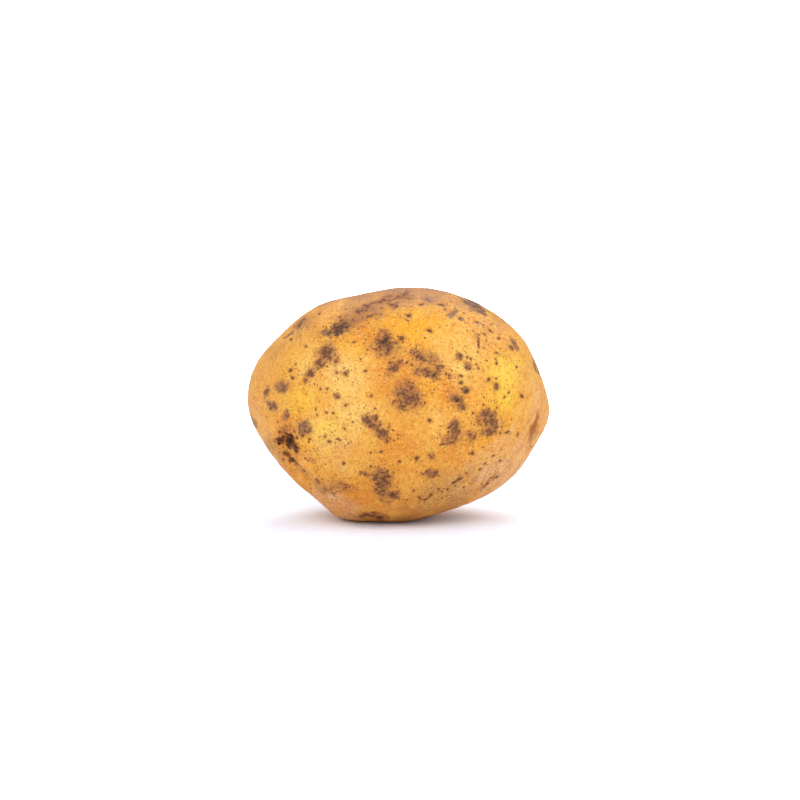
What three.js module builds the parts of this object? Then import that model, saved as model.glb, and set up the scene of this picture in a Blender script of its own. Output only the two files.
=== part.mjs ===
// A potato: one whole tuber, lying on its side on a small flat spot.
// Millimetres, +Z up. X runs along the tuber from the rose end (-X) to the stem end (+X).
// -Y is its front.
import * as THREE from 'three';
import { mergeVertices } from 'three/addons/utils/BufferGeometryUtils.js';

// Driving dimensions: the smooth tuber before its swells and hollows
const LENGTH = 84.5;
const DEPTH = 62;
const HEIGHT = 65.5;
const FLAT_SPOT_RISE = 1; // how far the flat spot lies above the round underside's lowest point
const FACE_SPLITS = 15; // each face of the round start shape is split this many times along an edge

const halfLength = LENGTH / 2;
const halfDepth = DEPTH / 2;
const halfHeight = HEIGHT / 2;

// A place is [x, z] as seen from the front, from the middle of the tuber, and a side: FRONT, BACK,
// or RIM for the edge seen from the front.
// A swell stands out by its height, and one with a negative height is a hollow. It fades over its reach:
// along is the longer one, across the shorter, and turn is how far along leans up from level.
const FRONT = -1;
const RIM = 0;
const BACK = 1;

// The broad form: what turns the smooth body into this tuber
const broadForm = [
  { at: [28, 24], side: RIM, height: 0.5, along: 14, across: 17 },
  { at: [12, 33], side: RIM, height: 0.4, along: 14, across: 14 },
  { at: [-9, 32], side: RIM, height: -1.2, along: 9, across: 12 },
  { at: [-32, 21], side: RIM, height: -1.2, along: 11, across: 12 },
  { at: [-39, -14], side: RIM, height: -2.7, along: 12, across: 16 },
  { at: [-26, -23], side: RIM, height: -2.9, along: 9, across: 10, turn: -40 },
  { at: [-16, -30], side: RIM, height: 1.2, along: 6, across: 14 },
  { at: [-3, -33], side: RIM, height: 0.8, along: 18, across: 16 },
  { at: [16, -29], side: RIM, height: -1.3, along: 14, across: 16 },
  { at: [39, -14], side: RIM, height: -0.9, along: 8, across: 14 },
  { at: [41, 11], side: RIM, height: -0.6, along: 8, across: 12 },
  { at: [-20, 4], side: FRONT, height: 1.0, along: 14, across: 18 },
  { at: [-4, -10], side: FRONT, height: -0.7, along: 9, across: 16 },
  { at: [24, 8], side: FRONT, height: 0.8, along: 13, across: 13 },
  { at: [14, -20], side: FRONT, height: -0.8, along: 12, across: 10 },
  { at: [-12, 12], side: BACK, height: 1.3, along: 16, across: 14 },
  { at: [12, -4], side: BACK, height: -1.2, along: 12, across: 17 },
  { at: [27, 12], side: BACK, height: 0.9, along: 11, across: 11 },
  { at: [-24, -14], side: BACK, height: -1.0, along: 12, across: 10 },
];

// The nub at the stem end, and the slit beside it
const stemEnd = [
  { at: [42, -3], side: RIM, height: 0.9, along: 5.5, across: 4, turn: -70 },
  { at: [37.5, -4.5], side: FRONT, height: -1.2, along: 5, across: 1.6, turn: 72 },
];

// Eyes: a shallow dent each, with a brow that stands out above it
const eyes = [
  { at: [-30, -7.5], side: FRONT, dent: 1.5, width: 4.2, turn: 35 },
  { at: [-27.8, 23.2], side: FRONT, dent: 0.4, width: 3.6, turn: 40 },
  { at: [22.5, 19.5], side: FRONT, dent: 0.5, width: 3.4, turn: 80 },
  { at: [6, -23.5], side: FRONT, dent: 0.6, width: 4.0, turn: 20 },
  { at: [-37, 4], side: BACK, dent: 1.1, width: 3.8, turn: -30 },
  { at: [-25, -8], side: BACK, dent: 1.0, width: 4.2, turn: 25 },
  { at: [-16, 20], side: BACK, dent: 0.9, width: 4.0, turn: -15 },
  { at: [9, 3], side: BACK, dent: 1.0, width: 4.4, turn: 10 },
  { at: [24, -16], side: BACK, dent: 0.8, width: 3.8, turn: -40 },
  { at: [20, 22], side: BACK, dent: 0.8, width: 3.6, turn: 30 },
];

// The fold that runs from the lowest eye down round the rose end, as short hollows end to end
const fold = [
  { at: [-29.2, -12.8], side: FRONT, height: -0.9, along: 5, across: 1.8, turn: -58 },
  { at: [-26, -19], side: FRONT, height: -1.0, along: 5.5, across: 2.2, turn: -48 },
];

// The point of the smooth body under a place
function pointAt([x, z], side) {
  const share = Math.hypot(x / halfLength, z / halfHeight); // 1 on the rim
  if (side === RIM || share >= 1) return new THREE.Vector3(x / share, 0, z / share);
  return new THREE.Vector3(x, side * halfDepth * Math.sqrt(1 - share * share), z);
}

// The smooth body's outward direction at one of its points
function outwardAt(point) {
  return new THREE.Vector3(
    point.x / halfLength ** 2,
    point.y / halfDepth ** 2,
    point.z / halfHeight ** 2,
  ).normalize();
}

// A swell with its centre and its two directions worked out, ready to measure points against
function placed({ at, side, height, along, across, turn = 0 }) {
  const centre = pointAt(at, side);
  const outward = outwardAt(centre);
  const tilt = THREE.MathUtils.degToRad(turn);
  const frontal = new THREE.Vector3(Math.cos(tilt), 0, Math.sin(tilt));
  const alongAxis = frontal.addScaledVector(outward, -frontal.dot(outward)).normalize();
  const acrossAxis = new THREE.Vector3().crossVectors(outward, alongAxis);
  return { centre, outward, alongAxis, acrossAxis, height, along, across };
}

// An eye's dent and its brow, which lies on the side towards the tuber's middle line
function eyeSwells({ at, side, dent, width, turn }) {
  const tilt = THREE.MathUtils.degToRad(turn);
  const browAt = [at[0] - Math.sin(tilt) * width, at[1] + Math.cos(tilt) * width];
  return [
    { at, side, height: -dent, along: width, across: width * 0.6, turn },
    { at: browAt, side, height: dent * 0.45, along: width * 1.3, across: width * 0.5, turn },
  ];
}

const swells = [...broadForm, ...stemEnd, ...fold, ...eyes.flatMap(eyeSwells)].map(placed);

// Moves a point of the unit sphere to the tuber's skin: out to the smooth body, then along its outward
// direction by the sum of the swells, each a bell of height times exp(-(u^2 + v^2 + w^2))
function toSkin(point) {
  point.multiply(new THREE.Vector3(halfLength, halfDepth, halfHeight));
  const outward = outwardAt(point);
  const offset = new THREE.Vector3();
  let rise = 0;
  for (const swell of swells) {
    offset.subVectors(point, swell.centre);
    const u = offset.dot(swell.alongAxis) / swell.along;
    const v = offset.dot(swell.acrossAxis) / swell.across;
    const w = offset.dot(swell.outward) / Math.max(swell.along, swell.across);
    rise += swell.height * Math.exp(-(u * u + v * v + w * w));
  }
  return point.addScaledVector(outward, rise);
}

function tuberGeometry() {
  const round = new THREE.IcosahedronGeometry(1, FACE_SPLITS - 1);
  round.deleteAttribute('normal');
  round.deleteAttribute('uv');
  const geometry = mergeVertices(round);
  const position = geometry.getAttribute('position');
  const point = new THREE.Vector3();
  for (let i = 0; i < position.count; i++) {
    toSkin(point.fromBufferAttribute(position, i));
    position.setXYZ(i, point.x, point.y, point.z);
  }

  // The origin is under the middle of the tuber, on the flat spot's level
  geometry.computeBoundingBox();
  const { min, max } = geometry.boundingBox;
  geometry.translate(-(min.x + max.x) / 2, -(min.y + max.y) / 2, -(min.z + FLAT_SPOT_RISE));

  // The flat spot: what would reach lower is pressed up to that level
  for (let i = 0; i < position.count; i++) {
    position.setZ(i, Math.max(position.getZ(i), 0));
  }
  geometry.computeVertexNormals();
  return geometry;
}

const skin = new THREE.MeshStandardMaterial({ color: 0xe0a04a, roughness: 0.6, metalness: 0 });

const tuber = new THREE.Group();
const potato = new THREE.Mesh(tuberGeometry(), skin);
potato.name = 'potato';
tuber.add(potato);

export default tuber;
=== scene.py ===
import math

import bpy
import numpy as np
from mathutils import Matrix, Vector


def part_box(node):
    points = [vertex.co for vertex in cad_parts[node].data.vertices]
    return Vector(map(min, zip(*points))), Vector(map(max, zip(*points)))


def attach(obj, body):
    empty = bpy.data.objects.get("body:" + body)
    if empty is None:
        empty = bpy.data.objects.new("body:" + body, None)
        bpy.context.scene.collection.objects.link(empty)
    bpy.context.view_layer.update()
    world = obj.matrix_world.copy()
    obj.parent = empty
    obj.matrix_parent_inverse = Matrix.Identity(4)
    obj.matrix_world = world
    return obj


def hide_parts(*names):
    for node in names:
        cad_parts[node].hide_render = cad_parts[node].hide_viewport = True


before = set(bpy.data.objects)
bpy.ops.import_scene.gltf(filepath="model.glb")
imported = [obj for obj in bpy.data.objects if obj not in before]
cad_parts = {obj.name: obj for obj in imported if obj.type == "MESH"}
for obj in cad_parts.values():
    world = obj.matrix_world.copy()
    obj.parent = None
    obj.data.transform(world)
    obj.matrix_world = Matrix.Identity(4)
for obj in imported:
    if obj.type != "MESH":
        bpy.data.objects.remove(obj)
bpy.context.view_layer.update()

mm = 0.001
scene = bpy.context.scene
potatoLow, potatoHigh = (np.array(corner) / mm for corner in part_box("potato"))  # the tuber's box, in mm

camera = {
    "distance": 622,      # mm, from the tuber's middle
    "elevation": 8,       # degrees above level
    "lens": 100,          # mm
    "aim": (0.4, 0.9),    # mm, how far right of and above the middle it looks
}

elevation = math.radians(camera["elevation"])
seenRight = np.array([1.0, 0.0, 0.0])
seenUp = np.array([0.0, math.sin(elevation), math.cos(elevation)])
towardsCamera = np.array([0.0, -math.cos(elevation), math.sin(elevation)])
tuberMiddle = (potatoLow + potatoHigh) / 2


def makeCamera():
    aimAt = tuberMiddle + camera["aim"][0] * seenRight + camera["aim"][1] * seenUp
    data = bpy.data.cameras.new("camera")
    data.lens = camera["lens"]
    data.clip_start = 0.01
    made = bpy.data.objects.new("camera", data)
    made.location = Vector((aimAt + camera["distance"] * towardsCamera) * mm)
    made.rotation_euler = (math.pi / 2 - elevation, 0, 0)
    scene.collection.objects.link(made)
    scene.camera = made


makeCamera()
print("camera placed")

# The tuber's form.
# A place is (x, z) from the middle of the smooth body, with its side: front, back, or rim for the edge
# seen from the front. A swell is x, z, side, height, reach along, reach across and turn, and a negative
# height is a hollow. The fine marks further down are placed as the camera sees them.
front, rim, back = -1, 0, 1

form = {
    "length": 84.5, "depth": 62, "height": 65.5,  # mm, the smooth body before its swells
    "splits": 128,                                # squares along an edge of each of the six patches
    "swells": [
        (28, 24, rim, 0.5, 14, 17, 0),            # the broad form
        (12, 33, rim, 0.4, 14, 14, 0),
        (-9, 32, rim, -1.2, 9, 12, 0),
        (-32, 21, rim, -1.2, 11, 12, 0),
        (-39, -14, rim, -2.7, 12, 16, 0),
        (-26, -23, rim, -2.9, 9, 10, -40),
        (-16, -30, rim, 1.2, 6, 14, 0),
        (-3, -33, rim, 0.8, 18, 16, 0),
        (16, -29, rim, -1.3, 14, 16, 0),
        (39, -14, rim, -0.9, 8, 14, 0),
        (41, 11, rim, -0.6, 8, 12, 0),
        (-20, 4, front, 1.0, 14, 18, 0),
        (-4, -10, front, -0.7, 9, 16, 0),
        (24, 8, front, 0.8, 13, 13, 0),
        (14, -20, front, -0.8, 12, 10, 0),
        (-12, 12, back, 1.3, 16, 14, 0),
        (12, -4, back, -1.2, 12, 17, 0),
        (27, 12, back, 0.9, 11, 11, 0),
        (-24, -14, back, -1.0, 12, 10, 0),
        (42, -3, rim, 0.9, 5.5, 4, -70),          # the nub at the stem end
        (37.5, -4.5, front, -1.2, 5, 1.6, 72),    # the slit beside it
        (-29.2, -12.8, front, -0.9, 5, 1.8, -58),  # the fold down round the rose end
        (-26, -19, front, -1.0, 5.5, 2.2, -48),
    ],
    "eyeShape": {"dentWidth": 0.6, "browRise": 0.45, "browLength": 1.3, "browWidth": 0.5},
    "eyes": [                                     # x, z, side, dent, width, turn
        (-30, -7.5, front, 1.5, 4.2, 35),
        (-27.8, 23.2, front, 0.4, 3.6, 40),
        (22.5, 19.5, front, 0.5, 3.4, 80),
        (6, -23.5, front, 0.6, 4.0, 20),
        (-37, 4, back, 1.1, 3.8, -30),
        (-25, -8, back, 1.0, 4.2, 25),
        (-16, 20, back, 0.9, 4.0, -15),
        (9, 3, back, 1.0, 4.4, 10),
        (24, -16, back, 0.8, 3.8, -40),
        (20, 22, back, 0.8, 3.6, 30),
    ],
}

halfSize = np.array([form["length"], form["depth"], form["height"]]) / 2


# The smooth body's outward direction: the gradient of its ellipsoid, made one long
def outwardAt(points):
    slope = points / halfSize**2
    return slope / np.linalg.norm(slope, axis=-1, keepdims=True)


# The point of the smooth body under a place: its depth comes from the ellipsoid,
# and a rim place is pushed out to the edge
def pointAt(x, z, side):
    share = math.hypot(x / halfSize[0], z / halfSize[2])
    if side == rim or share >= 1:
        return np.array([x / share, 0.0, z / share])
    return np.array([x, side * halfSize[1] * math.sqrt(1 - share**2), z])


# A direction along the surface: the one that leans up from level by turn, less its part along outward
def alongSurface(turn, outward):
    tilt = math.radians(turn)
    level = np.array([math.cos(tilt), 0.0, math.sin(tilt)])
    along = level - level @ outward * outward
    return along / np.linalg.norm(along)


# An eye is a dent and the brow beside it, which stands out less and is longer and narrower
def eyeSwells(x, z, side, dent, width, turn):
    shape = form["eyeShape"]
    tilt = math.radians(turn)
    brow = x - math.sin(tilt) * width, z + math.cos(tilt) * width
    browReach = width * shape["browLength"], width * shape["browWidth"]
    return [
        (x, z, side, -dent, width, width * shape["dentWidth"], turn),
        (*brow, side, dent * shape["browRise"], *browReach, turn),
    ]


# Unit sphere to skin: the ellipsoid, moved outward by a sum of bell curves exp(-(u^2 + v^2 + w^2)),
# where u, v and w are distances along each swell's own axes over its reach
def toSkin(directions):
    body = directions * halfSize
    outward = outwardAt(body)
    rise = np.zeros(len(body))
    eyeParts = [part for eye in form["eyes"] for part in eyeSwells(*eye)]
    for x, z, side, height, along, across, turn in form["swells"] + eyeParts:
        centre = pointAt(x, z, side)
        depthAxis = outwardAt(centre)
        alongAxis = alongSurface(turn, depthAxis)
        offset = body - centre
        u = offset @ alongAxis / along
        v = offset @ np.cross(depthAxis, alongAxis) / across
        w = offset @ depthAxis / max(along, across)
        rise += height * np.exp(-(u**2 + v**2 + w**2))
    return body + outward * rise[:, None]


# A ball made of six square grids. On each, u and v run from -1 to 1, and a point's direction is
# out + tan(45 degrees u) right + tan(45 degrees v) up, made one long. The grids' shared edges are welded.
# It gives the directions, the squares' corners, and each corner's place on its grid's cell of the UV map.
def ballOfGrids(splits):
    sides = [  # right, out, column, row
        ((1, 0, 0), (0, -1, 0), 0, 0), ((0, 1, 0), (1, 0, 0), 1, 0), ((-1, 0, 0), (0, 1, 0), 2, 0),
        ((0, -1, 0), (-1, 0, 0), 0, 1), ((1, 0, 0), (0, 0, 1), 1, 1), ((1, 0, 0), (0, 0, -1), 2, 1),
    ]
    steps = np.linspace(-1, 1, splits + 1)
    u, v = np.meshgrid(steps, steps)
    u, v = u.ravel(), v.ravel()
    corner = (np.arange(splits)[:, None] * (splits + 1) + np.arange(splits)).ravel()
    oneGrid = np.stack([corner, corner + 1, corner + splits + 2, corner + splits + 1], axis=1)
    margin = 0.01  # of the UV square, kept free round each cell
    cell = np.array([1 / 3, 1 / 2])
    points, squares, places = [], [], []
    for number, (right, out, column, row) in enumerate(sides):
        up = np.cross(out, right)
        across = np.tan(u * math.pi / 4)[:, None] * np.array(right)
        points.append(np.array(out) + across + np.tan(v * math.pi / 4)[:, None] * up)
        squares.append(oneGrid + number * len(u))
        inCell = (np.stack([u, v], axis=1) + 1) / 2
        places.append(np.array([column, row]) * cell + margin + inCell * (cell - 2 * margin))
    points = np.concatenate(points)
    points /= np.linalg.norm(points, axis=1, keepdims=True)
    squares = np.concatenate(squares)
    uv = np.concatenate(places)[squares.ravel()]
    first, same = np.unique(np.round(points, 6), axis=0, return_index=True, return_inverse=True)[1:]
    return points[first], same.ravel()[squares], uv


# Each point's outward direction: the sum of the cross products of the diagonals of the squares round it
def normalsOf(points, squares):
    a, b, c, d = (points[squares[:, k]] for k in range(4))
    cross = np.repeat(np.cross(c - a, d - b), 4, axis=0)
    corners = squares.ravel()
    total = np.stack([np.bincount(corners, cross[:, k], len(points)) for k in range(3)], axis=1)
    return total / np.linalg.norm(total, axis=1, keepdims=True)


directions, squares, uvPlaces = ballOfGrids(form["splits"])
skin = toSkin(directions)
skin += [*(tuberMiddle - (skin.min(axis=0) + skin.max(axis=0)) / 2)[:2], potatoHigh[2] - skin[:, 2].max()]
outward = normalsOf(skin, squares)
print("tuber formed:", len(skin), "points")

# Marks on the skin. Each is across, up, length, width, turn and strength, as the camera sees it, in mm from
# the tuber's middle. What is left out is round, level and of full strength.
marks = {
    "scurf": [  # brown, rough, freckled at the edges
        (-3.8, 17, 6.2, 5.6), (-20.2, 14.4, 4.8, 3.4, 40), (-22.2, 11.6, 3.4, 1.6, 50),
        (-24.6, 8.8, 2.3, 1.5, 30), (-25.7, 7.1, 1.3), (-17.6, 12.6, 1.8, 1.3, 30),
        (-14.9, 8.8, 1.9, 1.6), (-17.3, 9.0, 1.3, 1), (-1.2, 10.8, 5, 3.4, 50, 0.75),
        (2.4, 2.2, 7, 6.4, 30), (6.4, 14.2, 5, 3.2, -20, 0.75), (9.2, 12.2, 5.5, 3.4, -40, 0.6),
        (7.4, 9.4, 4.4, 2.4, 0, 0.85), (11.6, 10.3, 2, 1.3), (16, 1.8, 3.6, 3, -50),
        (17.2, -0.4, 3.2, 1.8, -20), (15.7, -6.2, 3.8, 3, 80), (15.1, -9.4, 5, 3.4, 20, 0.85),
        (20.5, -9, 3.4, 3, 70, 0.72), (24.8, -2.8, 4.4, 2.2), (27.2, -5.4, 2.8, 2.6, 70),
        (25.4, -7.6, 4.8, 2.4, 15), (22.6, -4.4, 3, 1.5, 90, 0.8), (-7.6, -5.3, 4.6, 2.8, -30),
        (-5, -7.6, 4.6, 2.6, -45), (-6.5, -3.4, 1.6, 1.3), (-3.4, -9.8, 2.4, 1.4, -60, 0.7),
        (-9, -19.7, 3.4, 1.3, -10), (-6.4, -20.8, 2, 1.8), (-4.3, -21.8, 2.8, 2.6),
        (-3.9, -23.9, 4, 2.8, 70), (-1.6, -25, 3.4, 2.4, -10), (-3.5, -19.1, 4, 2, 20, 0.75),
        (9.5, -19, 3.8, 2.8, 0, 0.8), (9.4, -14.1, 2, 1.8, 0, 0.75), (-15.8, -22.8, 7.5, 3.4, -10, 0.45),
        (-22.7, -21.3, 2, 1.2, -60), (-20.2, -23.8, 4.6, 2.2, -15, 0.6), (-7.5, -31.1, 7, 1.6),
        (17, 13.9, 1.8, 1.5), (19.6, 10.8, 1.9, 1.7, 80), (31.4, 16.2, 1.7, 1.1, -30),
        (27.1, 4.8, 1.8, 1.8), (-16.8, 2.5, 1.7, 1.4), (37.2, -10.8, 5, 1, 76, 0.35),
        (-28.6, -17, 4, 0.9, -52, 0.6), (-31.5, -6.6, 3.6, 2.2, 10, 0.6), (-12.4, 23.8, 4.4, 2, 15, 0.5),
        (-9, 27, 6, 2.2, 38, 0.8), (-4.4, 29.2, 6.5, 2, 22, 0.85), (1, 30.2, 5, 1.6, 8, 0.75),
        (-1.6, 28.3, 3.4, 1, -15), (-8, 25, 2.4, 0.8, 10), (24.2, -22.3, 2.8, 1.2, 50, 0.75),
        (26.7, -20.3, 2.2, 1.4, 30, 0.7), (7.3, 11.6, 10, 6, -35, 0.45), (25.6, -4.6, 6.5, 5.5, 0, 0.6),
        (-4.6, -22, 8, 4.8, -75, 0.95),
    ],
    "black": [  # grey-black, flat
        (-16.9, 21.4, 4.8, 3.7, 10, 1.15), (21.3, 27.7, 6.5, 2.6, -28, 0.9), (9.8, 8.5, 2.8, 2.2, -30),
        (38.6, 10.8, 5, 1.2, -66, 0.7), (-40.6, -5, 3.4, 1.2, -66, 0.8), (19.1, 4.6, 2.2, 2, 0, 0.85),
        (17, -20.8, 2.4, 1.1, 40, 0.85), (17.4, 0.5, 2.2, 1.8, 0, 0.7), (-4.6, -21, 3.6, 2.2, -60, 0.6),
        (-3.9, 18, 3, 2.4, 40, 0.55), (23, 17.4, 4.6, 1, 95, 0.7),
    ],
    "plum": [  # smooth purple-grey scars
        (-20.5, 20.2, 2.8, 2.3, 20), (-32.8, 5, 3.2, 3), (-36.8, 3, 3.8, 1.9, 75),
        (-35.2, -0.6, 3.4, 2.4, -35), (-31.2, -2.8, 3, 1.4, 75), (-26.2, -6.2, 3.6, 3, 70),
        (-27.9, 22.5, 3.6, 1.5, 52), (-30.8, 19.6, 2.6, 1, 45), (15.3, 25.4, 3.2, 2, 18),
        (17.4, 24.3, 1.3, 1), (8.5, 29.9, 3.2, 1.3, -5), (32.7, 17.2, 3.6, 1.5, -58),
        (-24.3, -16, 2.8, 1.8, -40, 0.5), (-1.3, -25.2, 2.6, 1.8), (-33.6, -9.6, 2, 1.6),
    ],
    "speck": [  # small dark dots and dashes
        (-22.2, 25.6, 1.1), (-16.6, 24.7, 1.2, 0.8), (-30.1, 18.4, 1.1), (-25.8, 16.6, 1),
        (-12.6, 17.6, 1.5, 0.8), (-30.5, 9.6, 1.4), (-29.6, 7.4, 1.2), (-9, 9.4, 1.5, 1.1),
        (-10.8, 12.8, 0.9), (-21.8, 4.3, 1), (-19.7, 4.5, 1), (-7.7, 3, 1.2), (-14.8, -0.3, 1),
        (-23.2, -1.4, 1.4, 0.8, 90), (-22.9, -2.8, 0.9), (-20.4, -2.2, 1), (-18.6, -2.1, 1),
        (-15.2, -6.5, 0.8), (-20.4, -8.7, 1), (-19.2, -10.5, 1.3), (-17.2, -9.6, 0.9), (-16.4, -9.9, 0.9),
        (-26.7, -8.6, 1.2), (-25, -9.4, 1), (-15.5, -16.3, 1.2), (-26.8, -18.7, 1),
        (-4.6, -13.5, 1.3, 0.9), (-2.6, -6, 0.9), (0.2, -16.1, 1), (3.1, 25.2, 1.9, 1.2, 15),
        (8.6, 20.9, 2.1, 1.3), (0.9, 18.6, 1.7, 1.5), (12.2, 28, 2.6, 0.8, -12),
        (6.7, 28.3, 2.2, 0.8, 15), (13.3, 26.6, 0.9), (26, 20.7, 2, 0.8, -50),
        (21.6, 23.4, 1.8, 0.8, -20), (28, 18.8, 1.1), (27.7, 14.7, 1.3, 0.8, -20),
        (27.5, 11.8, 1.4, 0.9, 85), (27.3, 13, 0.8), (25.2, 7, 1.7, 1.1, 70), (19.2, 13.4, 1.1),
        (20.5, 12.9, 0.9), (22, 11.5, 0.8), (33, 10.6, 0.9), (17.7, 6.5, 1.4), (17.4, 8.3, 0.9),
        (30.9, 3.6, 1.2, 0.8, 45), (29.6, 2.2, 1.1, 0.8, 35), (34.5, 2.3, 1.9, 1.1, -70), (25.5, -1.1, 1),
        (22.2, 14.7, 0.9), (24.4, 19.6, 1), (13.2, 8.8, 0.9), (14.3, 8.2, 1.1), (14, 7.3, 0.8),
        (2.2, 11.7, 1), (3.5, 11.3, 1), (-0.2, 10.2, 1), (8.8, -4.3, 1.4), (11.6, -1.9, 1.3, 1.3, 0, 0.7),
        (21.1, -2.2, 1), (12, -11.2, 1.1, 0.8), (30.3, -7.7, 1.3, 0.8, 40), (33.1, -8, 1.8, 1, 75),
        (20.9, -13.5, 1.4), (5.6, -14.9, 1.5), (24.3, -16.4, 1.3, 0.8, 45), (23, -18.2, 1.1, 0.8, 60),
        (28.4, -15.7, 0.9), (26.5, -14.2, 1.2, 0.8, 50), (15.4, -21.8, 1.8, 0.9, 35), (13.8, -23.7, 1),
        (19.2, -19, 0.9), (5.3, -25.9, 1.5, 1), (9, -25.1, 1.8, 0.8, 30), (7.2, -26.4, 2.1, 0.8, 20),
        (11.2, -23.6, 1), (4.2, -24, 0.9), (-33.5, -7.8, 1.1), (-29, -7.7, 1), (-28.2, -9.2, 1.1),
        (-32, -13.6, 1.4), (-32.3, -15.2, 1), (-30.3, -15.7, 1.4, 1, -50), (-5.6, -31.4, 2.4, 0.9),
    ],
    "soil": [  # black-brown, packed into the eye and the fold below it
        (-30.6, -10.6, 3.8, 2.6, -35), (-32.6, -9.4, 2.4, 1.8, 20), (-28.8, -11.8, 2.4, 1.6, 75),
        (-30.8, -8.6, 2.4, 1, -20), (-31.3, -13.6, 2.6, 1, -55), (-29.9, -15.6, 1.8, 0.9, -50),
    ],
}

# Each is across, up, reach and strength, seen the same way
tints = {
    "golden": [
        (-2, 24, 8, 1), (6, 24, 8, 1), (12, 20, 6, 0.6), (31, 9, 6, 0.5), (30, 1, 6, 0.8),
        (24, -11, 5, 0.8), (15, -18, 4, 0.4), (-27, -10, 3, 1), (-26, -18, 4, 0.7), (-14, -19, 4, 0.4),
        (-31, 12, 5, 0.5), (-12, 16, 5, 0.7), (9, 4, 4, 0.6), (-27, 1, 4, 0.7),
    ],
    # cream: on the seen side painted soft highlights of the left and right lamps, on the hidden side pale
    # patches
    "creamAndHighlight": [
        (-15, 7, 6, 1), (-13, -2, 6, 0.9), (-20, -8, 6, 0.8), (-26, 11, 5, 0.6), (17, 10, 5, 0.8),
        (15, 17, 6, 0.6), (21, 14, 4, 0.7), (11, -5, 4, 0.5), (-14, -18, 3, 0.5),
    ],
    # lemon: on the seen side painted bright highlights, on the hidden side pale yellow patches
    "lemonAndHighlight": [(31, 9, 5, 1), (30, 3, 4, 0.8), (36, 9, 4, 0.5), (-27, 1, 4, 0.6), (-20, -7, 4, 0.6)],
    "orange": [
        (0, 8, 6, 0.8), (-31, -7, 4, 1), (-29, -14, 4, 0.8), (-12, -26, 6, 0.9), (-32, -18, 4, 0.8),
        (0, -12, 6, 0.7), (15, -14, 5, 0.6), (-7.5, 20.5, 4, 0.8), (-28, -23, 5, 0.6), (14, 5, 4, 0.8),
    ],
    # rose: pink skin, and on the underside also painted light reflected from the floor
    "roseAndFloorLight": [
        (-20, -27, 5, 0.8), (-14, -30, 4, 0.9), (28, -19, 7, 1), (33, -13, 5, 0.6), (24, 22, 5, 0.5),
        (-16, -12, 5, 0.4), (-18, 11, 3, 0.4), (18, -25, 5, 0.5),
    ],
    "tan": [
        (-38, 8, 5, 0.8), (-41, 0, 5, 0.8), (39, -3, 5, 0.8), (37, 8, 5, 0.7), (-35, 14, 5, 0.7),
        (-26, 22, 5, 0.6), (31, 18, 5, 0.7), (20, -22, 6, 0.6), (36, -12, 4, 0.6), (-38, -8, 4, 0.6),
        (9, 12, 5, 0.4),
    ],
    "olive": [(9, -26, 5, 0.8), (15, -23, 5, 0.8), (21, -20, 3, 0.6), (8, 13, 3, 0.4)],
    "freckles": [
        (-15, 9.1, 3.5, 1), (-18.6, 11.9, 3, 0.8), (-24.1, 8.2, 3, 0.9), (-7.1, 18.2, 4, 0.7),
        (-13.2, 20.1, 4, 0.6), (-10.7, -1.8, 2.5, 0.5), (-18, -10, 3.5, 0.9), (-31.1, 9.1, 2, 0.8),
        (-24.7, -15.8, 3.5, 0.6), (-21.7, -21.8, 5, 1), (-15.6, -23, 4, 0.8), (-5.3, -19.4, 4, 0.8),
        (7.5, -23.1, 6, 0.5), (5, -14.5, 2, 0.7), (9.3, -19.4, 3, 0.8), (5, 14.6, 4, 0.9),
        (11.1, 8.5, 4, 1), (16.6, 7.3, 3, 0.9), (18.4, 12.8, 3.5, 0.9), (24.5, 20, 5, 0.9),
        (23.2, 17, 3, 1), (28.1, 12.2, 3, 0.6), (25.7, 7.3, 3, 0.7), (16.6, 1.8, 3.5, 0.8),
        (25.1, -4.2, 5, 1), (20.8, -9.1, 4, 0.8), (14.1, -8.5, 4, 0.7), (3.8, 6.1, 3, 0.8),
        (1.4, -1.8, 3, 0.6), (5.6, 0, 3, 0.6), (-7.7, -4.2, 3, 0.8), (-3.5, -8.5, 3, 0.7),
        (-2.3, 10.4, 3.5, 0.8), (34.2, 2.4, 2, 0.5), (31.7, -8.5, 3, 0.5), (25.7, -17, 5, 0.5),
        (19.6, -23, 5, 0.5), (15, 27, 6, 0.6), (2.6, 29.8, 7, 0.7), (-4.7, 27.3, 5, 0.8),
        (-13, 24.3, 5, 0.7), (-19, 20.1, 4, 0.8), (-27.7, 22.5, 4, 0.8), (-37.5, 2.4, 3, 0.6),
        (-30.8, -2.4, 3, 0.6), (-29, -9.7, 4, 1), (-31.4, -15.2, 4, 0.8),
    ],
    "wrinkled": [
        (36, -7, 6, 0.9), (33, -13, 6, 1), (28, -19, 6, 0.9), (22, -24, 5, 0.6), (38.5, 2, 4, 0.6),
        (-33, -13, 4, 0.6), (-26, -19, 4, 0.7), (-20, -26, 5, 0.6), (-38, -6, 4, 0.5),
    ],
    # umber: brown streaked skin along the seen rims, and there also painted shade that darkens the top and
    # bottom rims
    "umberAndShade": [
        (-20, 29, 5, 0.6), (-10, 31, 6, 0.9), (0, 32, 6, 1), (-13, 25, 4.5, 0.85), (-7, 27.5, 4, 0.9),
        (-1, 29.5, 4, 0.9), (10, 32, 6, 0.9), (19, 30, 5, 0.8), (28, 25, 4, 0.5), (-6, -33, 4, 0.6),
        (4, -33, 6, 0.7), (14, -31, 6, 0.5), (-36, -12, 3, 0.6), (-33.5, -14, 2.5, 0.5),
        (-26, 23, 5, 0.5), (-34, 15, 4, 0.35),
    ],
}

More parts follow.
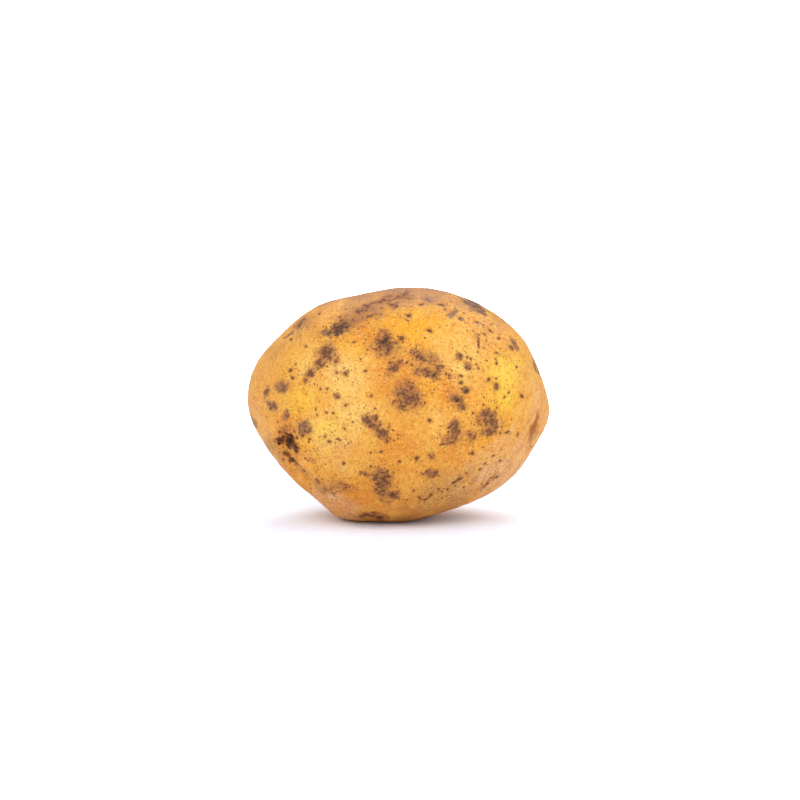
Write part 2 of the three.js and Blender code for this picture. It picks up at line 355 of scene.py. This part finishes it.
creases = {
    "seen": [  # across, up, length, width, turn and depth, mm
        (-29.6, -13.4, 8, 1.5, -62, 0.36), (-26.2, -19.4, 9, 1.5, -50, 0.3),
        (-30.4, -9.2, 5, 1.6, -30, 0.45), (38.2, -6.2, 9.2, 2.3, 72, 0.6), (36.4, -11.8, 7, 1.2, 66, 0.3),
        (39.6, -1.2, 4, 1.3, 60, 0.25), (34.6, -9.5, 7, 1.6, 62, 0.18), (32, -15.5, 8, 1.8, 52, 0.16),
        (-36.6, -9.6, 5, 1.4, -62, 0.2), (-39.4, -4.6, 5, 1.4, -72, 0.18),
    ],
    "inEye": {"length": 1.3, "width": 0.34, "reach": 2, "depth": 0.3},  # in eye widths, depth in mm
    # the crease colour is painted shade, darkest from this depth on
    "deepest": 0.5,  # mm, from here on the colour is darkest
}

# What is scattered over the side that the camera doesn't see: how many, and the shortest and longest in mm
hidden = {
    "seed": 7,
    "scurf": (46, 1.4, 6.5),
    "black": (9, 1.4, 4.2),
    "plum": (18, 1.2, 3.6),
    "speck": (120, 0.8, 1.9),
    "freckles": (40, 2, 6),
    "wrinkled": (14, 3, 7),
    "golden": (14, 3, 8),
    "creamAndHighlight": (12, 3, 7),
    "lemonAndHighlight": (6, 3, 6),
    "orange": (11, 3, 7),
    "roseAndFloorLight": (12, 3, 6),
    "tan": (16, 4, 7),
    "olive": (5, 2.5, 5),
    "umberAndShade": (12, 3, 7),
}

markShapes = {
    "below": 0.45,      # mm, the marks are measured from this far below the middle
    "edgeOn": 0.05,     # skin that faces the camera less than this is neither seen nor hidden
    "drift": [(9, 0.035), (4.5, 0.07), (2.2, 0.10)],  # mm, and the shift as a share of it
    "fullDrift": 4,     # mm, shorter marks drift less
    "seenReach": 4,     # of the mark's length, how far it reaches along the line of sight
    "hiddenStrength": (0.7, 1), "hiddenWidth": (0.45, 1),  # the width as a share of the length
}

facing = outward @ towardsCamera
fromMiddle = skin - tuberMiddle + markShapes["below"] * seenUp
# what is nearer to the camera looks larger
nearness = camera["distance"] / (camera["distance"] - fromMiddle @ towardsCamera)
seenPlaces = np.stack([fromMiddle @ seenRight, fromMiddle @ seenUp], axis=1) * nearness[:, None]
facingPoints = np.flatnonzero(facing > markShapes["edgeOn"])
hiddenPoints = np.flatnonzero(facing < -markShapes["edgeOn"])


# The point that is seen nearest to a place, of those that face the camera
def seenPoint(across, up):
    distances = np.hypot(*(seenPlaces[facingPoints] - (across, up)).T)
    return facingPoints[distances.argmin()]


# A sum of sine waves in random directions, all of about one length, scaled to about -1 to 1
def lumps(points, size, random, count=18):
    waves = random.normal(size=(count, 3))
    uneven = random.uniform(0.75, 1.3, (count, 1))  # each wave is a little shorter or longer than the size
    waves *= 2 * math.pi / size / np.linalg.norm(waves, axis=1, keepdims=True) * uneven
    return np.sin(points @ waves.T + random.uniform(0, 2 * math.pi, count)).sum(axis=1) / math.sqrt(count)


# How far each point is shifted when a mark is measured, so that no mark is a plain oval
def makeDrift(random):
    return sum(size * share * np.stack([lumps(skin, size, random) for axis in range(3)], axis=1)
               for size, share in markShapes["drift"])


# 2 to the power of -(a^2 + b^2 + c^2), where a, b and c are distances along the mark's axes over its
# half sizes: 1 in the middle, a half at the mark's edge. Larger marks drift more.
def bell(centre, axes, sizes):
    offset = skin - centre + drift * min(1, sizes[0] / markShapes["fullDrift"])
    return 2.0 ** -np.sum((offset @ np.array(axes).T / (np.array(sizes) / 2)) ** 2, axis=1)


# The bell of a mark whose axes are the camera's right, up and line of sight, turned by its turn
def seenBell(across, up, length, width=None, turn=0, strength=1):
    tilt = math.radians(turn)
    along = math.cos(tilt) * seenRight + math.sin(tilt) * seenUp
    side = math.cos(tilt) * seenUp - math.sin(tilt) * seenRight
    sizes = length, width or length, markShapes["seenReach"] * length
    return strength * bell(skin[seenPoint(across, up)], (along, side, towardsCamera), sizes)


# Bells at random points of the hidden side, lying along the skin at random turns
def hiddenBells(random, count, shortest, longest):
    for point in random.choice(hiddenPoints, count):
        length = shortest * (longest / shortest) ** random.random()  # small ones are commoner
        along = np.cross(outward[point], random.normal(size=3))
        along /= np.linalg.norm(along)
        axes = along, np.cross(outward[point], along), outward[point]
        strength = random.uniform(*markShapes["hiddenStrength"])
        width = length * random.uniform(*markShapes["hiddenWidth"])
        yield strength * bell(skin[point], axes, (length, width, length))


# The bell of the crease that lies along an eye
def eyeCrease(x, z, side, dent, width, turn):
    nearest = np.linalg.norm(directions * halfSize - pointAt(x, z, side), axis=1).argmin()
    depthAxis = outward[nearest]
    along = alongSurface(turn, depthAxis)
    sizes = [creases["inEye"][name] * width for name in ("length", "width", "reach")]
    return bell(skin[nearest], (along, np.cross(depthAxis, along), depthAxis), sizes)


random = np.random.default_rng(hidden["seed"])
drift = makeDrift(random)
fields = {}
for name, placed in marks.items():
    scattered = hiddenBells(random, *hidden[name]) if name in hidden else []
    fields[name] = np.maximum.reduce([seenBell(*mark) for mark in placed] + list(scattered))
for name, placed in tints.items():
    seen = [seenBell(across, up, 2 * reach, strength=strength) for across, up, reach, strength in placed]
    count, shortest, longest = hidden[name]
    fields[name] = np.maximum.reduce(seen + list(hiddenBells(random, count, 2 * shortest, 2 * longest)))
seenCreases = [depth * seenBell(*creaseShade) for *creaseShade, depth in creases["seen"]]
eyeCreases = [creases["inEye"]["depth"] * eyeCrease(*eye) for eye in form["eyes"]]
creaseDepth = np.maximum.reduce(seenCreases + eyeCreases)
# painted shade in the creases: the deeper the crease, the darker its colour
fields["creaseShade"] = creaseDepth / creases["deepest"]
print("skin marked:", ", ".join(fields))

# Relief, in mm. A mark's is its height, how strong the mark is where it starts and where it is full,
# and how much of the height is even and how much is crumbs.
relief = {
    "seed": 3,
    "waves": [(17, 0.07), (8, 0.05), (3.6, 0.032), (1.7, 0.02)],  # size of the lumps and height
    "crumbSize": 1.5,
    "marks": {
        "scurf": (0.10, 0.35, 0.75, 0.7, 0.5),
        "plum": (-0.12, 0.3, 0.8, 1, 0),
        "black": (-0.05, 0.3, 0.7, 1, 0),
        "speck": (-0.10, 0.3, 0.9, 1, 0),
        "soil": (0.22, 0.35, 0.7, 0.6, 1),
    },
    "pressSoftness": 0.35,  # of the flat spot's edge
}


# 0 below low, 1 above high, and 3 s^2 - 2 s^3 of the share s between them
def smoothStep(value, low, high):
    share = np.clip((value - low) / (high - low), 0, 1)
    return share * share * (3 - 2 * share)


random = np.random.default_rng(relief["seed"])
rise = sum(height * lumps(skin, size, random) for size, height in relief["waves"])
crumbs = lumps(skin, relief["crumbSize"], random)
for name, (height, low, high, even, crumbly) in relief["marks"].items():
    rise += height * smoothStep(fields[name], low, high) * (even + crumbly * crumbs)
rise -= creaseDepth
skin += outward * rise[:, None]

# the flat spot it rests on, with a soft edge: s log(1 + exp(z / s))
softness = relief["pressSoftness"]
skin[:, 2] = softness * np.logaddexp(0, skin[:, 2] / softness)
print("relief raised")


# Sets a node's sockets, given by name or number, to plain values or to other nodes' outputs
def setSockets(tree, node, sockets):
    for name, value in sockets.items():
        if isinstance(value, bpy.types.NodeSocket):
            tree.links.new(value, node.inputs[name])
        else:
            node.inputs[name].default_value = value


# Adds a node and applies its settings first, then its sockets
def addNode(tree, kind, sockets, **settings):
    node = tree.nodes.new("ShaderNode" + kind)
    for name, value in settings.items():
        setattr(node, name, value)
    setSockets(tree, node, sockets)
    return node


def calculate(tree, operation, *values):
    return addNode(tree, "Math", dict(enumerate(values)), operation=operation).outputs[0]


def product(tree, *values):
    return calculate(tree, "MULTIPLY", *values)


# The first value times the second, plus the third
def scaledSum(tree, *values):
    return calculate(tree, "MULTIPLY_ADD", *values)


def difference(tree, *values):
    return calculate(tree, "SUBTRACT", *values)


def quotient(tree, *values):
    return calculate(tree, "DIVIDE", *values)


def vectorOf(tree, operation, sockets):
    return addNode(tree, "VectorMath", sockets, operation=operation).outputs


# 0 below low, 1 above high, and a smooth rise between them
def rising(tree, value, low, high):
    sockets = {"Value": value, "From Min": low, "From Max": high}
    return addNode(tree, "MapRange", sockets, interpolation_type="SMOOTHSTEP").outputs["Result"]


# Noise whose lumps are about as large as the size, in mm. Another lift gives another pattern.
def noiseOf(tree, place, size, detail, roughness=0.55, lift=0.0):
    sockets = {"Vector": place, "W": lift, "Scale": 1 / size, "Detail": detail, "Roughness": roughness}
    return addNode(tree, "TexNoise", sockets, noise_dimensions="4D").outputs["Fac"]


def fieldOf(tree, name):
    return addNode(tree, "Attribute", {}, attribute_name=name).outputs["Fac"]


# A colour given as on screen, 0 to 255, made linear
def paint(red, green, blue):
    return (*((np.array([red, green, blue]) / 255) ** 2.2), 1)


# A node group with a place and some numbers as inputs and masks as outputs
def startGroup(name, inputs, outputs):
    tree = bpy.data.node_groups.new(name, "ShaderNodeTree")
    tree.interface.new_socket("Place", in_out="INPUT", socket_type="NodeSocketVector")
    for label, value in inputs.items():
        socket = tree.interface.new_socket(label, in_out="INPUT", socket_type="NodeSocketFloat")
        socket.default_value = value
    for label in outputs:
        tree.interface.new_socket(label, in_out="OUTPUT", socket_type="NodeSocketFloat")
    return tree, tree.nodes.new("NodeGroupInput").outputs, tree.nodes.new("NodeGroupOutput").inputs


def useGroup(tree, group, sockets):
    return addNode(tree, "Group", sockets, node_tree=group).outputs


patterns = {
    "clumps": {"size": 2.0, "detail": 5, "roughness": 0.7},              # what makes a mark's edge ragged
    "crumbs": {"size": 0.85, "detail": 4, "roughness": 0.7, "lift": 4},  # what cracks a mark's core
    "crumbsInEdge": 0.5,           # how much of the crumbs the ragged edge has
    "edgeInCore": 0.75,            # and how much of that edge the core has
    "stain": (0.12, 0.75),         # where the stain starts and is full
    "core": (0.34, 0.8),           # where the core starts and is full
    "nearMark": (0.02, 0.3),       # how strong a mark must be to show at all
    "dotWobble": (1.6, 2.0, 0.5),  # scale, detail and reach in mm of what puts the dots out of line
    "netWobble": (1.1, 3.0, 1.4),  # and the net
    "dotSizes": (0.9, 0.5),        # the spread of the dots' sizes and the smallest, times the radius
    "dotEdge": (-0.15, 0.55),      # where a dot starts and is full, as a share of its radius inwards
}


# Breaks a mark up: a wide soft stain with a ragged edge, and a darker core that is cracked into grains
def makeBrokenMark():
    inputs = {"Field": 0.0, "Ragged": 1.5, "Cracked": 2.6}
    tree, given, out = startGroup("brokenMark", inputs, ("Stain", "Core"))
    clumps = difference(tree, noiseOf(tree, given["Place"], **patterns["clumps"]), 0.5)
    crumbs = difference(tree, noiseOf(tree, given["Place"], **patterns["crumbs"]), 0.5)
    uneven = calculate(tree, "ADD", clumps, product(tree, crumbs, patterns["crumbsInEdge"]))
    ragged = scaledSum(tree, uneven, given["Ragged"], given["Field"])
    cracked = scaledSum(tree, ragged, patterns["edgeInCore"], product(tree, crumbs, given["Cracked"]))
    near = rising(tree, given["Field"], *patterns["nearMark"])
    tree.links.new(product(tree, rising(tree, ragged, *patterns["stain"]), near), out["Stain"])
    tree.links.new(product(tree, rising(tree, cracked, *patterns["core"]), near), out["Core"])
    return tree


# A place moved about by noise of a given scale and detail, by up to the reach
def wobbled(tree, place, scale, detail, reach):
    wobble = addNode(tree, "TexNoise", {"Vector": place, "Scale": scale, "Detail": detail}).outputs["Color"]
    return vectorOf(tree, "MULTIPLY_ADD", {0: wobble, 1: (reach, reach, reach), 2: place})[0]


# Round dots, one to a cell of the given spacing, of which only a share is kept. Each has its own size.
def makeDots():
    tree, given, out = startGroup("dots", {"Spacing": 2.0, "Radius": 0.3, "Share": 0.4}, ("Mask",))
    moved = wobbled(tree, given["Place"], *patterns["dotWobble"])
    scale = quotient(tree, 1.0, given["Spacing"])
    cells = addNode(tree, "TexVoronoi", {"Vector": moved, "Scale": scale}).outputs
    chance = addNode(tree, "SeparateColor", {"Color": cells["Color"]}).outputs
    distance = product(tree, cells["Distance"], given["Spacing"])
    radius = product(tree, given["Radius"], scaledSum(tree, chance["Green"], *patterns["dotSizes"]))
    inwards = difference(tree, 1.0, quotient(tree, distance, radius))
    kept = calculate(tree, "LESS_THAN", chance["Red"], given["Share"])
    tree.links.new(product(tree, rising(tree, inwards, *patterns["dotEdge"]), kept), out["Mask"])
    return tree


# A net of fine lines between cells of the given size
def makeNetting():
    tree, given, out = startGroup("netting", {"Size": 1.2, "Width": 0.08}, ("Lines",))
    moved = wobbled(tree, given["Place"], *patterns["netWobble"])
    sockets = {"Vector": moved, "Scale": quotient(tree, 1.0, given["Size"])}
    cells = addNode(tree, "TexVoronoi", sockets, feature="DISTANCE_TO_EDGE").outputs
    away = quotient(tree, cells["Distance"], given["Width"])
    tree.links.new(difference(tree, 1.0, rising(tree, away, 0.0, 1.0)), out["Lines"])
    return tree


brokenMark, dots, netting = makeBrokenMark(), makeDots(), makeNetting()

finish = {
    "colours": {
        "skin": paint(240, 167, 70),
        "golden": paint(250, 170, 12),
        # cream and lemon: partly painted highlights
        "creamAndHighlight": paint(251, 206, 112),
        "lemonAndHighlight": paint(255, 218, 78),
        "orange": paint(226, 130, 34),
        # rose: partly painted light from the floor on the underside
        "roseAndFloorLight": paint(236, 178, 134),
        "tan": paint(240, 168, 88),
        "olive": paint(178, 138, 94),
        # umber: partly painted shade along the rims
        "umberAndShade": paint(152, 98, 56),
        "pale": paint(254, 203, 92),
        "deep": paint(214, 132, 50),
        "grainPale": paint(255, 226, 164),
        # crease: painted shade in the creases and in the gaps between wrinkles
        "creaseShade": paint(158, 86, 34),
        # ridge: painted highlight on the wrinkle tops
        "ridge": paint(248, 204, 160),
        "scurfStain": paint(162, 106, 70), "scurfCore": paint(88, 58, 46),
        "plumStain": paint(158, 104, 76), "plumCore": paint(90, 62, 54),
        "blackStain": paint(140, 92, 56), "blackCore": paint(58, 44, 34),
        "soilStain": paint(124, 66, 20), "soilCore": paint(40, 20, 10),
        "speck": paint(90, 56, 36),
        "halo": paint(186, 116, 56),
        "freckle": paint(104, 54, 32),
        "pore": paint(160, 98, 44),
    },
    "tints": ("golden", "creamAndHighlight", "lemonAndHighlight", "orange", "tan", "roseAndFloorLight", "olive", "umberAndShade"),
    "layers": [  # mask, colour and strength, from the bottom up
        # cream and lemon are partly painted highlights
        ("golden", "golden", 0.95), ("creamAndHighlight", "creamAndHighlight", 0.85), ("lemonAndHighlight", "lemonAndHighlight", 0.9),
        # rose is partly painted light from the floor on the underside
        ("orange", "orange", 0.8), ("tan", "tan", 0.8), ("roseAndFloorLight", "roseAndFloorLight", 0.8),
        # umber is partly painted shade along the rims
        ("olive", "olive", 0.65), ("umberAndShade", "umberAndShade", 0.85),
        ("palePatches", "pale", 0.4), ("deepPatches", "deep", 0.6),
        ("deepGrains", "deep", 0.85), ("paleGrains", "pale", 0.75),
        ("finePores", "pore", 0.75), ("largePores", "pore", 0.7),
        ("streaks", "scurfStain", 0.6),
        # painted highlight on the wrinkle tops, painted shade in the gaps between them and in the creases
        ("ridgeHighlights", "ridge", 0.6), ("valleyShade", "creaseShade", 0.4), ("creases", "creaseShade", 0.85),
        # pale grain, thicker on the painted highlights
        ("highlightAndPaleGrain", "grainPale", 0.6), ("haze", "halo", 0.42),
        ("plumStain", "plumStain", 0.75), ("plumCore", "plumCore", 0.65),
        ("scurfStain", "scurfStain", 0.74), ("scurfCore", "scurfCore", 0.74),
        ("blackStain", "blackStain", 0.8), ("blackCore", "blackCore", 0.85),
        ("soilStain", "soilStain", 0.9), ("soilCore", "soilCore", 0.95),
        ("speckHalos", "halo", 0.5), ("specks", "speck", 0.85),
        ("freckles", "freckle", 1.0),
    ],
    "noises": {  # sizes in mm
        "tint": {"size": 4.5, "detail": 4, "roughness": 0.62},
        "patchy": {"size": 3.5, "detail": 4, "roughness": 0.6},
        "fine": {"size": 2.2, "detail": 5, "roughness": 0.72, "lift": 11},
        "grain": {"size": 0.6, "detail": 4, "roughness": 0.75, "lift": 17},
        "speck": {"size": 0.5, "detail": 2, "lift": 23},
        "streaky": {"size": 1.1, "detail": 4, "roughness": 0.7, "lift": 31},
        "wrinkle": {"size": 1.5, "detail": 4, "roughness": 0.6, "lift": 41},
    },
    "edges": {  # a pattern's value where it starts to show, and where it shows in full
        "tints": (0.05, 0.95), "weatheredAndShaded": (0.15, 0.7),
        "palePatches": (0.5, 0.64), "deepPatches": (0.5, 0.66),
        "deepGrains": (0.51, 0.63), "paleGrains": (0.49, 0.37), "streaks": (0.5, 0.66),
        "ridgeHighlights": (0.5, 0.64), "valleyShade": (0.48, 0.36), "creases": (0.3, 1.0),
        "haze": (0.0, 0.55), "speckHalos": (0.42, 0.9), "specks": (0.8, 1.15),
    },
    "dots": {  # spacing and radius in mm, and the share of the dots that shows
        "finePores": {"Spacing": 0.95, "Radius": 0.2, "Share": 0.4},
        "largePores": {"Spacing": 2.7, "Radius": 0.32, "Share": 0.4},
        "highlightAndPaleGrain": {"Spacing": 0.55, "Radius": 0.2},
        "largeFreckles": {"Spacing": 1.2, "Radius": 0.4},
        "smallFreckles": {"Spacing": 0.7, "Radius": 0.27},
    },
    "shares": {  # how much more of the dots shows where their mark is full, and how much where it is absent
        "highlightAndPaleGrain": (0.5, 0.03), "largeFreckles": (0.6, -0.04), "smallFreckles": (0.8, -0.06),
    },
    "freckles": {"largeFreckles": 0.8, "smallFreckles": 0.65},          # how dark
    "ragged": {"plum": 1.0, "scurf": 1.8, "black": 1.4, "soil": 2.3},  # the marks' edges
    # where the umber tint lies, which is partly weathered skin and partly painted shade along the rims
    "paleWhereWeatheredAndShaded": 0.25,      # the share of the pale mottling that is left there
    "streakStretch": (0.22, 1, 1),
    "wrinkleLean": 64,               # degrees from level, towards the tuber's ends
    "wrinkleStretch": 0.2,
    "hazeUneven": 1.2,
    "speckUneven": 0.6,
    "cracks": {"Size": 1.3, "Width": 0.09},
    "gloss": 0.3,
    "roughness": 0.39,
    "fineRough": 0.22,               # what the fine mottling adds
    "dullRough": 0.25,               # what scurf and soil add
    "scurfDull": 0.8,                # how dull scurf is beside soil
    "raised": {                      # mm, by each pattern
        "fine": 0.16, "grain": 0.1, "wrinkles": 0.5, "cracks": -0.012, "largePores": 0.03,
        "finePores": -0.02, "roughTops": 0.16, "specks": -0.05, "freckles": -0.02,
    },
}


# The finish's own noises, edges and dots, by name
def noiseAt(tree, place, name):
    return noiseOf(tree, place, **finish["noises"][name])


def edged(tree, value, name):
    return rising(tree, value, *finish["edges"][name])


def dotsAt(tree, place, kind, **share):
    return useGroup(tree, dots, {"Place": place, **finish["dots"][kind], **share})["Mask"]


# The broad tints, each with an uneven edge. Cream and lemon are partly painted highlights, rose partly
# painted light from the floor, umber partly painted shade along the rims.
def maskTints(tree, place, masks):
    for number, name in enumerate(finish["tints"]):
        uneven = difference(tree, noiseOf(tree, place, lift=number + 1.0, **finish["noises"]["tint"]), 0.5)
        masks[name] = edged(tree, calculate(tree, "ADD", fieldOf(tree, name), uneven), "tints")


# Mottling at three scales, and streaks along the tuber. Under the umber tint, which is partly weathered
# brown skin and partly painted shade along the rims, there are the streaks and less of the pale.
def maskMottling(tree, place, masks):
    weatheredAndShaded = edged(tree, fieldOf(tree, "umberAndShade"), "weatheredAndShaded")
    outsideUmberAndShade = scaledSum(tree, weatheredAndShaded, finish["paleWhereWeatheredAndShaded"] - 1, 1.0)
    stretched = vectorOf(tree, "MULTIPLY", {0: place, 1: finish["streakStretch"]})[0]
    for name in ("patchy", "fine", "grain"):
        masks[name] = noiseAt(tree, place, name)
    masks["palePatches"] = product(tree, edged(tree, masks["patchy"], "palePatches"), outsideUmberAndShade)
    masks["deepPatches"] = edged(tree, masks["fine"], "deepPatches")
    masks["deepGrains"] = edged(tree, masks["grain"], "deepGrains")
    masks["paleGrains"] = product(tree, edged(tree, masks["grain"], "paleGrains"), outsideUmberAndShade)
    streaky = noiseAt(tree, stretched, "streaky")
    masks["streaks"] = product(tree, edged(tree, streaky, "streaks"), weatheredAndShaded)


# Pores, many fine and fewer large, pale grain that is thicker on the cream tint's painted highlights, and a
# faint net of cracks
def maskPores(tree, place, masks):
    masks["finePores"] = dotsAt(tree, place, "finePores")
    masks["largePores"] = dotsAt(tree, place, "largePores")
    share = scaledSum(tree, fieldOf(tree, "creamAndHighlight"), *finish["shares"]["highlightAndPaleGrain"])
    masks["highlightAndPaleGrain"] = dotsAt(tree, place, "highlightAndPaleGrain", Share=share)
    masks["cracks"] = useGroup(tree, netting, {"Place": place, **finish["cracks"]})["Lines"]


# Wrinkles round both ends of the tuber, as noise drawn out along a line that leans towards the end, a
# painted highlight on their tops, painted shade in the gaps between them, and painted shade in the creases
def maskWrinkles(tree, place, masks):
    lean, stretch = math.radians(finish["wrinkleLean"]), finish["wrinkleStretch"]
    acrossAxis = math.sin(lean), 0, -math.cos(lean)
    alongAxis = stretch * math.cos(lean), 0, stretch * math.sin(lean)
    x, y, z = addNode(tree, "SeparateXYZ", {0: place}).outputs
    folded = addNode(tree, "CombineXYZ", {0: calculate(tree, "ABSOLUTE", x), 1: y, 2: z}).outputs[0]
    across = vectorOf(tree, "DOT_PRODUCT", {0: folded, 1: acrossAxis})["Value"]
    along = vectorOf(tree, "DOT_PRODUCT", {0: folded, 1: alongAxis})["Value"]
    drawnOut = addNode(tree, "CombineXYZ", {0: across, 1: product(tree, y, stretch), 2: along}).outputs[0]
    wrinkle, wrinkled = noiseAt(tree, drawnOut, "wrinkle"), fieldOf(tree, "wrinkled")
    masks["wrinkles"] = product(tree, wrinkle, wrinkled)
    masks["ridgeHighlights"] = product(tree, edged(tree, wrinkle, "ridgeHighlights"), wrinkled)
    masks["valleyShade"] = product(tree, edged(tree, wrinkle, "valleyShade"), wrinkled)
    # painted shade in the creases, darker the deeper they are
    masks["creases"] = edged(tree, fieldOf(tree, "creaseShade"), "creases")


# The marks' stains and cores, a haze round the scurf, the specks and their halos, and what is dull and rough
def maskMarks(tree, place, masks):
    for name, ragged in finish["ragged"].items():
        sockets = {"Place": place, "Field": fieldOf(tree, name), "Ragged": ragged}
        broken = useGroup(tree, brokenMark, sockets)
        masks[name + "Stain"], masks[name + "Core"] = broken["Stain"], broken["Core"]
    patchy = difference(tree, masks["patchy"], 0.5)
    haze = scaledSum(tree, patchy, finish["hazeUneven"], fieldOf(tree, "scurf"))
    masks["haze"] = edged(tree, haze, "haze")
    speck = scaledSum(tree, noiseAt(tree, place, "speck"), finish["speckUneven"], fieldOf(tree, "speck"))
    masks["speckHalos"] = edged(tree, speck, "speckHalos")
    masks["specks"] = edged(tree, speck, "specks")
    dullScurf = product(tree, masks["scurfStain"], finish["scurfDull"])
    masks["dull"] = calculate(tree, "MAXIMUM", dullScurf, masks["soilStain"])
    masks["roughTops"] = product(tree, masks["dull"], masks["grain"])


# Freckles, thicker on the marks and round them
def maskFreckles(tree, place, masks):
    thick = fieldOf(tree, "freckles")
    for name in ("scurf", "soil", "black"):
        thick = calculate(tree, "MAXIMUM", thick, fieldOf(tree, name))
    sizes = []
    for kind, dark in finish["freckles"].items():
        share = scaledSum(tree, thick, *finish["shares"][kind])
        sizes.append(product(tree, dotsAt(tree, place, kind, Share=share), dark))
    masks["freckles"] = calculate(tree, "MAXIMUM", *sizes)


def makeSkinFinish():
    material = bpy.data.materials.new("potatoSkin")
    material.use_nodes = True
    tree = material.node_tree
    metres = addNode(tree, "TexCoord", {}).outputs["Object"]
    place = vectorOf(tree, "SCALE", {0: metres, 3: 1 / mm})[0]  # in mm
    masks = {}
    for addMasks in (maskTints, maskMottling, maskPores, maskWrinkles, maskMarks, maskFreckles):
        addMasks(tree, place, masks)

    colour = finish["colours"]["skin"]
    for mask, name, strength in finish["layers"]:
        amount = product(tree, masks[mask], strength)
        sockets = {0: amount, 6: colour, 7: finish["colours"][name]}
        colour = addNode(tree, "Mix", sockets, data_type="RGBA").outputs[2]

    # a dull sheen, duller on scurf and soil
    roughness = scaledSum(tree, masks["fine"], finish["fineRough"], finish["roughness"])
    roughness = scaledSum(tree, masks["dull"], finish["dullRough"], roughness)

    height = 0.0
    for name, raised in finish["raised"].items():
        height = scaledSum(tree, masks[name], raised, height)
    bump = addNode(tree, "Bump", {"Strength": 1.0, "Distance": mm, "Height": height})

    setSockets(tree, tree.nodes["Principled BSDF"], {
        "Base Color": colour, "Roughness": roughness, "Normal": bump.outputs["Normal"],
        "Specular IOR Level": finish["gloss"],
    })
    return material


def makePotato():
    mesh = bpy.data.meshes.new("potatoSkin")
    mesh.from_pydata(skin * mm, [], squares)
    mesh.uv_layers.new(name="OFBake").uv.foreach_set("vector", uvPlaces.ravel())
    for name, field in fields.items():
        mesh.attributes.new(name, "FLOAT", "POINT").data.foreach_set("value", field.astype(np.float32))
    mesh.shade_smooth()
    mesh.materials.append(makeSkinFinish())
    made = bpy.data.objects.new("potatoSkin", mesh)
    scene.collection.objects.link(made)
    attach(made, "root")
    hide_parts("potato")


makePotato()
print("potato made")

studio = {
    "floorSize": 8,                        # m
    "skyForSkin": 0.62,                    # the white surround's brightness for the skin
    "skyForCamera": 1.1,                   # and as the camera sees it
    "floorForSkin": 0.92,                  # the floor's white for the skin
    "floorForCamera": (1.1, 1.26, 1.5),    # and as the camera sees it, overexposed, in red, green and blue
    # painted shade: the floor as the camera sees it is darker within 70 mm of the middle and 3.5 times
    # brighter from 300 mm on
    "floorShadeReach": (0.07, 0.3),             # m, from where to where the floor fades to pure white
    "floorShadeLift": 2.5,                      # how much brighter it gets over that stretch
    "lights": {  # place and size in mm, and power in watts
        "keyLight": {"at": (-260, -480, 520), "size": 420, "power": 1.6},
        "sideLight": {"at": (480, -300, 420), "size": 420, "power": 1.1},
        "topLight": {"at": (40, 400, 600), "size": 420, "power": 1.8},
    },
}


def makeLight(name, at, size, power):
    data = bpy.data.lights.new(name, "AREA")
    data.size = size * mm
    data.energy = power
    made = bpy.data.objects.new(name, data)
    made.location = Vector(at) * mm
    made.rotation_euler = (Vector(tuberMiddle * mm) - made.location).to_track_quat("-Z", "Y").to_euler()
    made.visible_camera = False
    scene.collection.objects.link(made)


# One value for the camera's own rays and another for the light that reaches the skin
def forCamera(tree, toSkin, toCamera):
    seen = addNode(tree, "LightPath", {}).outputs["Is Camera Ray"]
    return addNode(tree, "Mix", {0: seen, 2: toSkin, 3: toCamera}).outputs[0]


def makeFloor():
    half = studio["floorSize"] / 2
    corners = [(-half, -half, 0), (half, -half, 0), (half, half, 0), (-half, half, 0)]
    mesh = bpy.data.meshes.new("floor")
    mesh.from_pydata(corners, [], [(0, 1, 2, 3)])
    made = bpy.data.objects.new("floor", mesh)
    scene.collection.objects.link(made)
    material = bpy.data.materials.new("whiteFloor")
    material.use_nodes = True
    tree = material.node_tree
    tree.nodes.clear()
    place = addNode(tree, "TexCoord", {}).outputs["Object"]
    # painted shade round the tuber: near the middle the floor is seen darker, further out it is lifted to
    # pure white
    away = vectorOf(tree, "LENGTH", {0: place})["Value"]
    liftedPastShade = scaledSum(tree, rising(tree, away, *studio["floorShadeReach"]), studio["floorShadeLift"], 1.0)
    white = addNode(tree, "CombineColor", {})
    for channel, brightness in enumerate(studio["floorForCamera"]):
        value = forCamera(tree, studio["floorForSkin"], product(tree, liftedPastShade, brightness))
        tree.links.new(value, white.inputs[channel])
    matt = addNode(tree, "BsdfDiffuse", {"Color": white.outputs[0]})
    addNode(tree, "OutputMaterial", {"Surface": matt.outputs[0]})
    mesh.materials.append(material)


def makeWorld():
    world = bpy.data.worlds.new("studio")
    world.use_nodes = True
    tree = world.node_tree
    brightness = forCamera(tree, studio["skyForSkin"], studio["skyForCamera"])
    setSockets(tree, tree.nodes["Background"], {"Color": (1, 1, 1, 1), "Strength": brightness})
    scene.world = world


for name, light in studio["lights"].items():
    makeLight(name, **light)
makeFloor()
makeWorld()
scene.view_settings.view_transform = "Standard"
print("studio lit")
